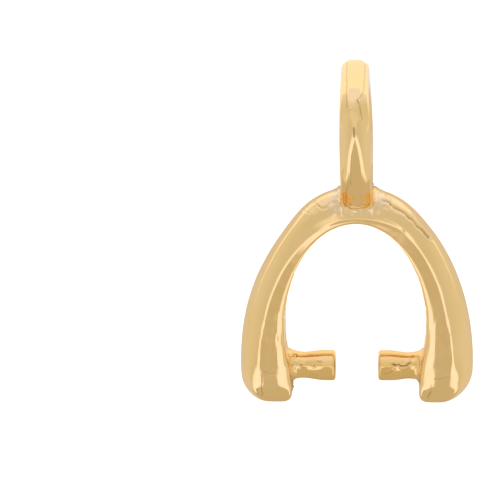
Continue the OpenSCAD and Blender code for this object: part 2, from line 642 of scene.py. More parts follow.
@dataclass(frozen=True)
class PaleTable:
    """The plain pale floor, glowing white to the camera so that it runs on into the backdrop.

    Places are in mm in the row frame. A pair is where a change starts and where it ends.
    """

    name: str = "pale_table"
    shade: Triple = (0.88, 0.88, 0.87)
    roughness: float = 0.9
    specular: float = 0.1
    # How bright it glows: to the camera, and as painted light in reflections, more between the legs and past
    # the ring.
    lift: float = 0.8
    glow: float = 0.07
    inner_glow: float = 0.45
    far_glow: float = 0.4
    # Painted shade: the patch before the bail is dim. Where it starts, half its width, its ragged sides, and
    # how it widens.
    dim_shade: Triple = (0.78, 0.72, 0.6)
    dim_start: Pair = (-2.5, -6.0)
    dim_half: Pair = (4.4, 5.6)
    dim_ragged: float = 3.0
    widens_from: float = -9.0
    widens_by: float = 1.2
    inner_half: Pair = (2.4, 3.4)
    inner_start: Pair = (-5.6, -4.8)
    inner_end: Pair = (0.0, 1.5)
    far_start: Pair = (3.5, 9.0)

    def material(self) -> bpy.types.Material:
        """Builds a matt white with painted light between the legs and past the ring, and painted shade before
        the bail.

        Returns:
            The material.
        """
        made, bench, shader = start_material(self.name)
        place = bench.add("ShaderNodeTexCoord").outputs["Object"]
        along = bench.math("DIVIDE", bench.dot(place, Vector((0, 1, 0))), MM)
        across = bench.math("ABSOLUTE", bench.math("DIVIDE", bench.dot(place, Vector((1, 0, 0))), MM))
        # Painted shade: a dim patch before the bail, ragged at its sides and widening away from it.
        further = bench.math("MAXIMUM", bench.math("SUBTRACT", self.widens_from, along), 0.0)
        off_middle = bench.math("SUBTRACT", across, bench.math("MULTIPLY", further, self.widens_by))
        ragged = bench.math("ADD", off_middle, bench.noise(self.dim_ragged, 1.0))
        middle = bench.range(ragged, *self.dim_half, 1.0, 0.0)
        before = bench.math("MULTIPLY", bench.range(along, *self.dim_start), middle)
        bench.feed(shader.inputs["Base Color"], bench.colours(before, self.shade, self.dim_shade))
        shader.inputs["Roughness"].default_value = self.roughness
        shader.inputs["Specular IOR Level"].default_value = self.specular
        shader.inputs["Emission Color"].default_value = (1.0, 1.0, 1.0, 1.0)

        # Painted light: the floor glows, most between the legs and past the ring, for the gold to reflect.
        near = bench.math("MULTIPLY", bench.range(before, 0.0, 1.0, 1.0, 0.0), self.glow)
        far = bench.math("MULTIPLY", bench.range(along, *self.far_start), self.far_glow)
        between = bench.range(across, *self.inner_half, 1.0, 0.0)
        between = bench.math("MULTIPLY", between, bench.range(along, *self.inner_start))
        between = bench.math("MULTIPLY", between, bench.range(along, *self.inner_end, 1.0, 0.0))
        inner = bench.math("MULTIPLY", between, self.inner_glow)
        seen = bench.math("MULTIPLY", bench.add("ShaderNodeLightPath").outputs["Is Camera Ray"], self.lift)
        glow = bench.math("MAXIMUM", bench.math("MAXIMUM", near, far), inner)
        bench.feed(shader.inputs["Emission Strength"], bench.math("MAXIMUM", seen, glow))
        return made


# The object


@dataclass(frozen=True)
class LegShape:
    """How one side of the arch was left by hand, in mm and shares of the section's thickness.

    Args:
        gap: distance from the middle to the inner face, at its widest.
        foot: the same at the foot.
        lean_top: height where the leg starts to lean in.
        outer_radius: radius of the foot's outer corner.
        slack: how far the shoulder falls inside the arch's curve.
        dome: rows of (height, share of the thickness that is domed).
    """

    gap: float
    foot: float
    lean_top: float
    outer_radius: float
    slack: float
    dome: tuple[Pair, ...]


@dataclass(frozen=True)
class Scratch:
    """A worn line, a pit or a raised crease on the front, along a few points.

    Args:
        path: places as (x, z) in mm, upright.
        depth: how deep it is in mm, below 0 where it is raised.
        width: half its width, in mm.
        lip: height of the metal pushed up beside it, in mm.
        painted_shade: how much painted shade darkens it, from 0 to 1.
        lip_place: how far from the line the lip is highest, in half widths.
        painted_shade_rate: how fast the painted shade fades out beside the line.
    """

    path: tuple[Pair, ...]
    depth: float
    width: float
    lip: float = 0.0
    painted_shade: float = 0.0
    lip_place: float = 1.9
    painted_shade_rate: float = 0.9

    def gap(self, points: np.ndarray) -> np.ndarray:
        """Measures how far points are from the line, seen from the front.

        Args:
            points: upright points in mm.

        Returns:
            Distances in half widths, endless behind.
        """
        flat = points[:, [0, 2]]
        gaps = []
        for start, end in zip(self.path, self.path[1:]):
            way = np.subtract(end, start)
            t = np.clip((flat - start) @ way / (way @ way), 0.0, 1.0)
            gaps.append(np.linalg.norm(flat - start - t[:, None] * way, axis=1))
        return np.where(points[:, 1] < 0, np.min(gaps, axis=0) / self.width, np.inf)

    def relief(self, gap: np.ndarray) -> np.ndarray:
        """Heights in mm, below 0 in the line and above 0 on its lips."""
        return self.lip * bell(gap - self.lip_place) - self.depth * bell(gap)


# A worn line wavers: the waves' size in mm, and a seed each for X, Y and Z.
WAVE_SIZE = 0.2
WAVE_SEEDS = (15, 16, 17)


def engrave(skin: Sheet, scratches: tuple[Scratch, ...], waver: float) -> np.ndarray:
    """Works out the relief of several lines, and marks the painted shade in them.

    Args:
        skin: the skin that gets the marks.
        scratches: the lines.
        waver: how far they stray from their paths, in mm.

    Returns:
        Heights in mm, one a point.
    """
    p = skin.flat()
    strayed = p + np.stack([Grain(seed, WAVE_SIZE, 2, waver).at(p) for seed in WAVE_SEEDS], axis=1)
    height = np.zeros(len(p))
    for scratch in scratches:
        gap = scratch.gap(strayed)
        height += scratch.relief(gap)
        # Painted shade in and beside each line.
        skin.mark(Mask.RESIDUE, scratch.painted_shade * bell(gap * scratch.painted_shade_rate))
    return height


def both_halves(half: np.ndarray) -> np.ndarray:
    """Closes a section with its mirror image. A half runs from the inner face's middle to the crest's."""
    return np.vstack([half, (half * [1, -1])[-2:0:-1]])


@dataclass
class Yoke:
    """The cast arch: two legs with rounded feet and the crown, all of one D section."""

    width: float = 10.03
    crown_height: float = 9.42
    crown_thickness: float = 1.4
    outer_spring: float = 1.8
    inner_spring: float = 3.5
    crown_depth: float = 1.868
    foot_width: float = 9.85
    foot_depth: float = 2.1
    foot_lift: float = 0.02
    foot_inner_radius: float = 0.5
    foot_side_radius: float = 0.92
    # The sections crowd together towards the foot's underside, from this height down.
    foot_top: float = 1.52
    lean_low: float = 0.6
    edge_radius: float = 0.13
    # The ridge takes at most this share of the room beside it. A steep dome keeps at least this much, in mm.
    ridge_room: float = 0.45
    dome_room: float = 0.02
    # The shoulder falls in most at this height, and hardly at all this far from it.
    slack_height: float = 6.3
    slack_reach: float = 2.4
    # The crown's flat sides fall back towards its crest by this share of the depth, between these heights.
    crown_slant: float = 0.09
    slant_heights: Pair = (5.4, 7.8)
    shapes: dict[Side, LegShape] = field(default_factory=lambda: {
        Side.LEFT: LegShape(3.09, 2.775, 3.0, 1.2, 0.13, (
            (0, 0.35), (1, 0.356), (2, 0.37), (3, 0.435), (4, 0.493),
            (5, 0.545), (6, 0.60), (7, 0.70), (8.02, 0.84),
        )),
        Side.RIGHT: LegShape(2.995, 2.7, 3.4, 1.42, 0.02, (
            (0, 0.37), (1, 0.372), (2, 0.375), (3, 0.44), (4, 0.493),
            (5, 0.505), (6, 0.535), (7, 0.57), (8.02, 0.82),
        )),
    })
    # Rows of (height, half width of the ridge between the flat side and the dome in mm, the dome's turn from
    # the flat side in degrees, the bevel's share of the thickness, its turn at the inner edge in degrees).
    edges: Table = (
        (0, 0.235, 14, 0.36, 15.5), (1.2, 0.235, 14, 0.366, 15.5), (1.6, 0.2, 16, 0.34, 16),
        (1.9, 0.12, 23, 0.27, 18), (2.4, 0.085, 26, 0.25, 18), (3, 0.09, 23, 0.25, 18),
        (4, 0.1, 21.5, 0.22, 18), (5, 0.105, 20, 0.175, 18), (6, 0.105, 19, 0.135, 18),
        (7, 0.1, 18, 0.10, 18), (7.7, 0.07, 16, 0.07, 18), (8.02, 0.03, 14, 0.06, 18),
    )
    # The lines' dark colour is painted shade in their grooves.
    scratches: tuple[Scratch, ...] = (
        Scratch(
            ((1.07, 8.92), (1.35, 8.85), (1.69, 8.57), (1.96, 8.44), (2.37, 8.09), (2.65, 7.8), (3.09, 7.38)),
            0.04, 0.053, 0.03, 0.75),
        Scratch(((1.12, 8.63), (1.45, 8.52), (1.78, 8.28)), -0.012, 0.06),
        Scratch(
            ((-1.65, 8.72), (-1.4, 8.59), (-1.2, 8.68), (-1.09, 8.85), (-0.8, 8.85)),
            0.014, 0.04, 0.022, 0.12),
        Scratch(((-2.2, 8.42), (-1.95, 8.36)), 0.004, 0.04, 0.02),
        Scratch(((1.2, 8.38), (1.6, 8.2), (2.1, 7.72)), -0.008, 0.07),
        Scratch(((-3.94, 1.56), (-3.83, 1.47), (-3.63, 1.45), (-3.42, 1.49)), 0.003, 0.035, 0.0, 0.3),
        Scratch(((3.38, 1.3), (3.5, 1.24), (3.72, 1.28), (3.85, 1.33), (4.0, 1.38)), 0.004, 0.03, 0.002, 0.3),
        Scratch(((-4.07, 1.4), (-4.05, 0.9), (-4.06, 0.45)), 0.003, 0.03, 0.0, 0.6),
        Scratch(((3.25, 1.0), (3.2, 0.7), (3.05, 0.36)), 0.003, 0.04, 0.0, 0.5),
    )
    # Filed by hand, the sections vary along the legs. Each leg reads the grain from its own place, this many
    # times its gap, and the ridge and the bevel read it some rows on.
    unevenness: Grain = Grain(31, 0.5, 3)
    legs_apart: float = 7.0
    dome_stray: float = 0.007
    ridge_stray: float = 0.2
    ridge_rows_on: int = 9
    bevel_stray: float = 0.008
    bevel_rows_on: int = 40
    # The relief that the wheel and the file left outside and the casting inside. The file ran along the legs.
    wheel: Grain = Grain(11, 1.7, 2, 0.006, (1.0, 1.0, 0.7))
    file_marks: Grain = Grain(14, 0.12, 2, 0.005, (1.0, 0.0, 0.15))
    file_heights: Pair = (1.7, 4.0)
    ripples: Grain = Grain(12, 0.34, 2, 0.012, (1.0, 0.5, 1.0))
    trough_depth: float = 0.035
    trough_half: float = 0.24
    trough_heights: Pair = (2.4, 5.6)
    pitting: Grain = Grain(13, 0.16)
    pit_depth: float = 0.05
    pit_level: float = 0.55
    pit_heights: Pair = (3.2, 6.4)
    relief_fade: float = 0.8
    waver: float = 0.03
    # Columns round half a section, in order, and rows along one side.
    face_columns: int = 20
    edge_columns: int = 7
    bevel_columns: int = 9
    side_columns: int = 10
    knee_columns: int = 13
    dome_columns: int = 23
    foot_rows: int = 44
    leg_rows: int = 40
    crown_rows: int = 165
    # How fast the crown's two halves take on their own shapes away from where they meet.
    parting_rate: float = 3.0

    def leg_inner(self, shape: LegShape, z: np.ndarray | float) -> np.ndarray:
        """Distance from the middle to a leg's inner face at height z."""
        lean = ramp(z, self.lean_low, shape.lean_top)
        return mix(shape.foot, shape.gap, lean) + corner_inset(self.foot_inner_radius, z - self.foot_lift)

    def leg_outer(self, shape: LegShape, z: np.ndarray) -> np.ndarray:
        """Distance from the middle to a leg's crest at height z, below the crown's curve."""
        half = mix(self.foot_width, self.width, ease(z / self.outer_spring)) / 2
        return half - corner_inset(shape.outer_radius, z - self.foot_lift)

    def half_depth(self, z: np.ndarray) -> np.ndarray:
        """Works out half the front-to-back depth.

        Args:
            z: heights in mm.

        Returns:
            The half depths in mm.
        """
        share = np.clip(z / (self.crown_height - self.crown_thickness), 0, 1)
        half = mix(self.foot_depth, self.crown_depth, share) / 2
        return half - corner_inset(self.foot_side_radius, z - self.foot_lift)

    def stations(self, shape: LegShape) -> tuple[np.ndarray, ...]:
        """Places the sections of one side, from the foot to the crown's top.

        Args:
            shape: the side's own shape.

        Returns:
            Inner points, crest points, half depths, dome shares, and the columns of the edges' table.
        """
        rise = self.crown_height - self.outer_spring
        steps = np.linspace(0, 1, self.foot_rows + 1)
        z = self.foot_lift + (self.foot_top - self.foot_lift) * (1 - np.cos(steps * math.pi / 2))
        z = np.concatenate([z, np.linspace(z[-1], self.inner_spring, self.leg_rows + 1)[1:]])
        arc = np.arcsin(np.clip(z - self.outer_spring, 0, None) / rise)
        outer_x = np.where(z > self.outer_spring, self.width / 2 * np.cos(arc), self.leg_outer(shape, z))
        legs_in = np.stack([self.leg_inner(shape, z), z], axis=1)
        legs_out = np.stack([outer_x, z], axis=1)

        t = np.linspace(0, math.pi / 2, self.crown_rows + 1)[1:]
        start = math.asin((self.inner_spring - self.outer_spring) / rise)
        a = mix(start, math.pi / 2, t / (math.pi / 2))
        top = self.crown_height - self.crown_thickness
        crown_in = np.stack([shape.gap * np.cos(t), mix(self.inner_spring, top, np.sin(t))], axis=1)
        crown_out = np.stack([self.width / 2 * np.cos(a), self.outer_spring + rise * np.sin(a)], axis=1)

        inner = np.vstack([legs_in, crown_in])
        outer = np.vstack([legs_out, crown_out])
        height = inner[:, 1]
        fall = shape.slack * bell((height - self.slack_height) / self.slack_reach)
        way = outer - inner
        outer = outer - way / np.linalg.norm(way, axis=1, keepdims=True) * fall[:, None]
        line = np.stack([height * 0, height * 0, height], axis=1)
        uneven = self.unevenness.at(line + shape.gap * self.legs_apart)
        dome = through(np.array(shape.dome, float), height) + self.dome_stray * uneven
        edges = np.array(self.edges)
        ridge, turn, bevel, brink = (through(edges[:, [0, k]], height) for k in range(1, 5))
        ridge = ridge * (1 + self.ridge_stray * np.roll(uneven, self.ridge_rows_on))
        bevel = bevel + self.bevel_stray * np.roll(uneven, self.bevel_rows_on)
        return inner, outer, self.half_depth(height), dome, ridge, np.radians(turn), bevel, np.radians(brink)

    def half_section(
        self, thick: float, deep: float, dome: float, ridge: float, turn: float, bevel: float, brink: float
    ) -> np.ndarray:
        """Draws one half of the D, from the middle of the inner face to the crest.

        Args:
            thick: distance from the inner face to the crest, in mm.
            deep: half the depth, in mm.
            dome: the dome's share of the thickness.
            ridge: half width of the soft ridge between the flat side and the dome, in mm.
            turn: the dome's turn from the flat side, in radians.
            bevel: the share of the thickness that the bevel beside the inner face takes.
            brink: the bevel's turn at the inner edge, in radians.

        Returns:
            Points as [distance from the inner face, distance from the middle], in mm.
        """
        bevel_q = bevel * thick
        edge = min(self.edge_radius, 0.5 * bevel_q)
        steep = math.tan(brink) * min(1.0, deep)

        def on_bevel(q: np.ndarray) -> np.ndarray:
            """A point of the bevel, which turns away from the flat side more and more."""
            return np.stack([q, deep - steep * (bevel_q - q) ** 2 / (2 * bevel_q)], axis=1)

        start = on_bevel(np.array([edge]))[0]
        tip = start - [edge, steep * (bevel_q - edge) / bevel_q * edge]
        face_end = tip - [0, min(edge, 0.5 * deep)]
        face = face_end * spread(self.face_columns)[:, None]
        corner = bend(face_end, tip, start, spread(self.edge_columns))
        slant = on_bevel(mix(edge, bevel_q, spread(self.bevel_columns)))

        ridge_q = (1 - dome) * thick
        # The ridge stays clear of the bevel and of the crest.
        ridge = min(ridge, self.ridge_room * (ridge_q - bevel_q), self.ridge_room * (thick - ridge_q))
        side_q = mix(bevel_q, ridge_q - ridge, spread(self.side_columns))
        side = np.stack([side_q, np.full(len(side_q), deep)], axis=1)
        slope = math.tan(turn) * min(1.0, deep)
        t = spread(self.knee_columns)
        knee = np.stack([ridge_q - ridge + 2 * ridge * t, deep - slope * ridge * t * t], axis=1)

        # The dome is the ellipse that leaves the ridge at its slope and reaches the crest square to it.
        left = thick - ridge_q - ridge
        low = deep - slope * ridge
        a = left * (low - slope * left) / max(low - 2 * slope * left, self.dome_room)
        b = a * low / math.sqrt(2 * a * left - left * left)
        angle = np.linspace(math.asin(1 - left / a), math.pi / 2, self.dome_columns)
        crest = np.stack([thick - a + a * np.sin(angle), b * np.cos(angle)], axis=1)
        return np.vstack([face, corner, slant, side, knee, crest])

    def half_arch(self, shape: LegShape) -> np.ndarray:
        """Lofts one side, drawn to the right.

        Args:
            shape: the side's own shape.

        Returns:
            Rows of points from the foot to the crown's top.
        """
        rows = []
        for inner, outer, *measures in zip(*self.stations(shape)):
            thick = float(np.linalg.norm(outer - inner))
            half = self.half_section(thick, *(float(measure) for measure in measures))
            half[:, 1] *= 1 - self.crown_slant * ramp(inner[1], *self.slant_heights) * half[:, 0] / thick
            section = both_halves(half)
            way = (outer - inner) / thick
            x, z = inner[0] + section[:, 0] * way[0], inner[1] + section[:, 0] * way[1]
            rows.append(np.stack([x, -section[:, 1], z], axis=1))
        return np.array(rows)

    def sheet(self) -> Sheet:
        """Lofts the arch from foot to foot.

        Returns:
            The plain skin, without its surface detail.
        """
        right = self.half_arch(self.shapes[Side.RIGHT])
        left = self.half_arch(self.shapes[Side.LEFT])[::-1] * [-1, 1, 1]
        # The two sides differ a little where they meet, so the crown blends from one to the other.
        near = bell(np.linspace(0, 1, self.crown_rows) * self.parting_rate)[:, None, None]
        right_end, left_start = right[-self.crown_rows :], left[: self.crown_rows]
        middle = (right_end[-1] + left_start[0]) / 2
        right[-self.crown_rows :] = right_end + (middle - right_end[-1]) * near[::-1]
        left[: self.crown_rows] = left_start + (middle - left_start[0]) * near
        return Sheet(np.concatenate([right, left[1:]]), loop_rows=False)

    def wear(self, skin: Sheet) -> None:
        """Presses in what casting, the file and the polishing wheel left.

        Args:
            skin: the arch's skin, which gets its relief and its as-cast mask.
        """
        p = skin.flat()

        def between(heights: Pair) -> np.ndarray:
            """Is 1 between two heights, and fades out past both."""
            return window(p[:, 2], *heights, self.relief_fade)

        face = skin.inner_share(self.face_columns + self.edge_columns)
        trough = self.trough_depth * bell(p[:, 1] / self.trough_half) * between(self.trough_heights)
        pits = self.pit_depth * np.clip(self.pitting.at(p) - self.pit_level, 0, 1) * between(self.pit_heights)
        inside = self.ripples.at(p) - trough - pits
        outside = self.wheel.at(p) + self.file_marks.at(p) * between(self.file_heights)
        skin.push(mix(outside + engrave(skin, self.scratches, self.waver), inside, face))
        skin.mark(Mask.CAST, face)


@dataclass
class ChainRing:
    """The ring of D wire that hangs on the chain, bent by hand to a soft pentagon."""

    centre_height: float = 11.86
    forward: float = 0.13
    hole_radius: float = 1.85
    crest: float = 3.05
    wire_width: float = 1.32
    wall_width: float = 1.1
    narrows: float = 0.1
    # The wire's corners, low on the ring and at its top.
    corner_radius: float = 0.12
    top_corner_radius: float = 0.31
    # The soft rim between the hole's wall and the side: how far it goes into each, in rim widths, and how
    # near its bend comes to the edge.
    rim_in_wall: float = 1.4
    rim_in_side: float = 1.6
    rim_bend: float = 0.995
    # The ring stands a little askew on the crown: it leans to the left with height.
    lean: float = 0.018
    aside: float = -0.029
    # The file left three flats round the upper half. They meet this far from the middle.
    flat_half: float = 0.24
    # The corners grow round, and the flats begin, between these shares of the rise to the ring's top.
    rounding: Pair = (0.3, 0.9)
    filing: Pair = (0.15, 0.45)
    # Columns round half the wire, from the hole's wall to the crest, and rows round the ring.
    bore_columns: int = 14
    rim_columns: int = 12
    flank_columns: int = 10
    knuckle_columns: int = 12
    crown_columns: int = 27
    rows: int = 380
    # Rows of (angle in degrees from the back over the top, the crest's rise as a share of its radius).
    bends: Table = (
        (-27, -0.036), (15, 0.01), (58, 0.056), (82, 0.027), (106, -0.03), (143, 0.034), (158, -0.006),
        (168, -0.011), (180, -0.018), (207, -0.05), (222, -0.037), (238, 0.005), (252, 0.085), (270, 0.055),
        (297, 0.058),
    )
    # Rows of (the same angle, the radius of the wire's low crown in mm).
    crowns: Table = (
        (0, 0.8), (70, 0.72), (100, 0.74), (145, 0.85), (172, 0.72), (186, 0.76),
        (204, 0.98), (220, 1.4), (238, 1.8), (262, 1.2), (330, 0.95), (360, 0.8),
    )
    scratches: tuple[Scratch, ...] = (
        Scratch(((0.06, 13.72), (0.18, 13.45), (0.27, 12.9)), 0.016, 0.032, 0.006, 0.5),
        Scratch(((0.06, 13.72), (0.13, 13.58)), 0.01, 0.04, 0.0, 0.7),
        Scratch(((0.08, 13.75), (0.24, 13.85), (0.34, 14.1), (0.36, 14.8)), 0.006, 0.032, 0.0, 0.4),
        Scratch(((-0.43, 14.9), (-0.38, 14.3), (-0.39, 13.7), (-0.36, 13.4)), 0.006, 0.035, 0.0, 0.42),
        Scratch(((-0.3, 13.22), (-0.2, 13.32), (-0.05, 13.34), (0.05, 13.25)), 0.003, 0.03, 0.0, 0.2),
        # This line's full dark colour is a painted reflection of the lens down the ring's front.
        Scratch(((-0.07, 12.6), (-0.06, 12.24)), 0.02, 0.036, 0.0, 1.0),
        Scratch(((-0.27, 10.45), (-0.28, 10.25), (-0.33, 9.95), (-0.4, 9.69)), 0.004, 0.022, 0.0, 0.3),
        Scratch(((-0.33, 9.92), (-0.41, 9.63), (-0.445, 9.3), (-0.44, 9.05)), 0.01, 0.03, 0.0, 0.5),
    )
    # The wheel's relief, and the lumps of solder in the hole's bottom: how many columns they reach over, and
    # the heights from the ring's centre where they start and where they are in full.
    wheel: Grain = Grain(21, 1.3, 2, 0.008)
    lumps: Grain = Grain(22, 0.36, 2, 0.034)
    lump_columns: int = 22
    lump_heights: Pair = (-0.9, -1.5)
    waver: float = 0.02

    def crest_radius(self, angle: np.ndarray) -> np.ndarray:
        """Radius to the crest, in mm, at angles in degrees from the back over the top."""
        knots = np.array(self.bends)
        return self.crest * (1 + through(np.vstack([knots - [360, 0], knots, knots + [360, 0]]), angle))

    def section(self, wall: float, rise: float, crown: float) -> np.ndarray:
        """Draws the wire's section.

        Args:
            wall: its thickness from the hole to the crest, in mm.
            rise: how high on the ring it lies, from -1 at the bottom to 1 at the top.
            crown: the radius of its low crown, in mm.

        Returns:
            Points round the section as [distance from the hole, distance from the middle], in mm.
        """
        half_w = self.wire_width / 2 * (1 - self.narrows * max(0.0, rise))
        rim = (self.wire_width - self.wall_width) / 2
        wall_end = np.array([0, half_w - self.rim_in_wall * rim])
        bore = wall_end * spread(self.bore_columns)[:, None]
        side = np.array([self.rim_in_side * rim, half_w])
        edge = bend(wall_end, np.array([0, half_w * self.rim_bend]), side, spread(self.rim_columns))

        corner = mix(self.corner_radius, self.top_corner_radius, ramp(rise, *self.rounding))
        reach = half_w - corner
        turn = math.asin(reach / (crown - corner))
        shoulder = wall - crown + (crown - corner) * math.cos(turn)
        flank = mix(side, np.array([shoulder, half_w]), spread(self.flank_columns)[:, None])
        t = mix(math.pi / 2, turn, spread(self.knuckle_columns))
        knuckle = np.stack([shoulder + corner * np.cos(t), reach + corner * np.sin(t)], axis=1)
        p = np.linspace(crown * math.sin(turn), 0, self.crown_columns)
        arch = wall - crown + np.sqrt(crown * crown - p * p)
        # Filed flat, the crown is three chords: one over the middle and one down to each corner.
        brinks = np.array([0.0, self.flat_half, p[0]])
        drops = np.sqrt(crown * crown - np.array([self.flat_half, self.flat_half, p[0]]) ** 2)
        filed = mix(arch, wall - crown + np.interp(p, brinks, drops), ramp(rise, *self.filing))
        return both_halves(np.vstack([bore, edge, flank, knuckle, np.stack([filed, p], axis=1)]))

    def sheet(self) -> Sheet:
        """Bends the wire round.

        Returns:
            The plain skin, without its surface detail.
        """
        rows = []
        angles = np.linspace(0, 360, self.rows, endpoint=False)
        crowns = through(np.array(self.crowns), angles)
        for angle, radius, crown in zip(np.radians(angles), self.crest_radius(angles), crowns):
            section = self.section(radius - self.hole_radius, math.sin(angle), crown)
            r = self.hole_radius + section[:, 0]
            deep, high = r * math.cos(angle), r * math.sin(angle)
            x = section[:, 1] - self.lean * high + self.aside
            rows.append(np.stack([x, deep - self.forward, self.centre_height + high], axis=1))
        return Sheet(np.array(rows), loop_rows=True)

    def wear(self, skin: Sheet) -> None:
        """Presses in the marks of the hand tools, and the rough solder inside the hole's bottom.

        Args:
            skin: the ring's skin, which gets its relief and its solder mask.
        """
        p = skin.flat()
        solder = skin.inner_share(self.lump_columns) * ramp(p[:, 2] - self.centre_height, *self.lump_heights)
        skin.push(self.wheel.at(p) + self.lumps.at(p) * solder + engrave(skin, self.scratches, self.waver))
        skin.mark(Mask.SOLDER, solder)


@dataclass
class Peg:
    """One cast peg, which closes in the stone's drill hole."""

    side: Side
    marks: tuple[Scratch, ...]
    axis_height: float = 1.61
    end_gap: float = 1.86
    end_diameter: float = 1.32
    waist_diameter: float = 1.14
    root_diameter: float = 1.4
    root_depth: float = 0.2
    end_rounding: float = 0.12
    land: float = 0.34
    # The thinnest place lies this share of the way from the land to the leg.
    waist_place: float = 0.6
    # The mould's parting line runs along the front, at this turn from straight ahead. Its half width and how
    # far it strays are in degrees too.
    parting: float = 11.0
    parting_half: float = 9.0
    parting_stray: float = 6.0
    parting_height: float = 0.008
    # It starts this far from the free end, and is in full this far from it, in mm.
    parting_start: Pair = (0.1, 0.3)
    # The line strays in waves of this size, and the side is dented. Each leg has its own seeds.
    line_seed: int = 41
    line_size: float = 0.3
    dents_seed: int = 61
    dents_size: float = 0.7
    dents_height: float = 0.012
    root: Grain = Grain(44, 0.17, 2, 0.014)
    root_start: Pair = (2.3, 2.65)
    waver: float = 0.02
    columns: int = 144
    # Rings on the free end, from this share of its radius out, on its rounding, and along each stretch.
    end_rings: int = 14
    end_middle: float = 0.02
    rounding_rings: int = 12
    side_rings: int = 40

    def sheet(self, yoke: Yoke) -> Sheet:
        """Turns the peg about its axis, from its free end into the leg.

        Args:
            yoke: the arch that carries the peg.

        Returns:
            The plain skin, without its surface detail.
        """
        leg = float(yoke.leg_inner(yoke.shapes[self.side], self.axis_height))
        tip = self.end_gap / 2
        rounding = self.end_rounding
        land_start = tip + rounding
        land_end = land_start + self.land
        waist = mix(land_end, leg, self.waist_place)
        turn = np.linspace(0, math.pi / 2, self.rounding_rings)
        r_end, r_waist, r_root = self.end_diameter / 2, self.waist_diameter / 2, self.root_diameter / 2
        flat_r = r_end - rounding
        rings = mix(self.end_middle, 1, spread(self.end_rings))
        t = np.linspace(0, 1, self.side_rings + 1)[1:]
        few, fewest = t[1::2], t[::3]
        profile = [
            np.stack([np.full(len(rings), tip), flat_r * rings], axis=1),
            np.stack([tip + rounding * (1 - np.cos(turn)), flat_r + rounding * np.sin(turn)], axis=1),
            np.stack([mix(land_start, land_end, few), np.full(len(few), r_end)], axis=1),
            np.stack([mix(land_end, waist, t), mix(r_end, r_waist, ease(t))], axis=1),
            np.stack([mix(waist, leg, t), mix(r_waist, r_root, t * t)], axis=1),
            np.stack([leg + fewest * self.root_depth, np.full(len(fewest), r_root)], axis=1),
        ]
        line = np.vstack(profile)
        around = np.linspace(0, 2 * math.pi, self.columns, endpoint=False) * -self.side.value
        x = np.broadcast_to(line[:, :1] * self.side.value, (len(line), self.columns))
        y = line[:, 1:] * np.sin(around)
        z = self.axis_height + line[:, 1:] * np.cos(around)
        return Sheet(np.stack([x, y, z], axis=2), loop_rows=False)

    def wear(self, skin: Sheet) -> None:
        """Leaves the peg as cast: dented along its side, with a rough root.

        Args:
            skin: the peg's skin, which gets its relief.
        """
        p = skin.flat()
        along = np.abs(p[:, 0])
        turn = np.degrees(np.arctan2(p[:, 2] - self.axis_height, -p[:, 1]))
        seed = self.line_seed + self.side.value
        stray = Grain(seed, self.line_size, 2, self.parting_stray, (1.0, 0.0, 0.0)).at(p)
        off_line = (turn - self.parting - stray) / self.parting_half
        parting = self.parting_height * np.clip(1 - np.abs(off_line), 0, 1)
        parting *= ramp(along, *(self.end_gap / 2 + start for start in self.parting_start))
        dents = Grain(self.dents_seed + self.side.value, self.dents_size, 2, self.dents_height).at(p)
        root = self.root.at(p) * ramp(along, *self.root_start)
        skin.push(parting + dents + root + engrave(skin, self.marks, self.waver))


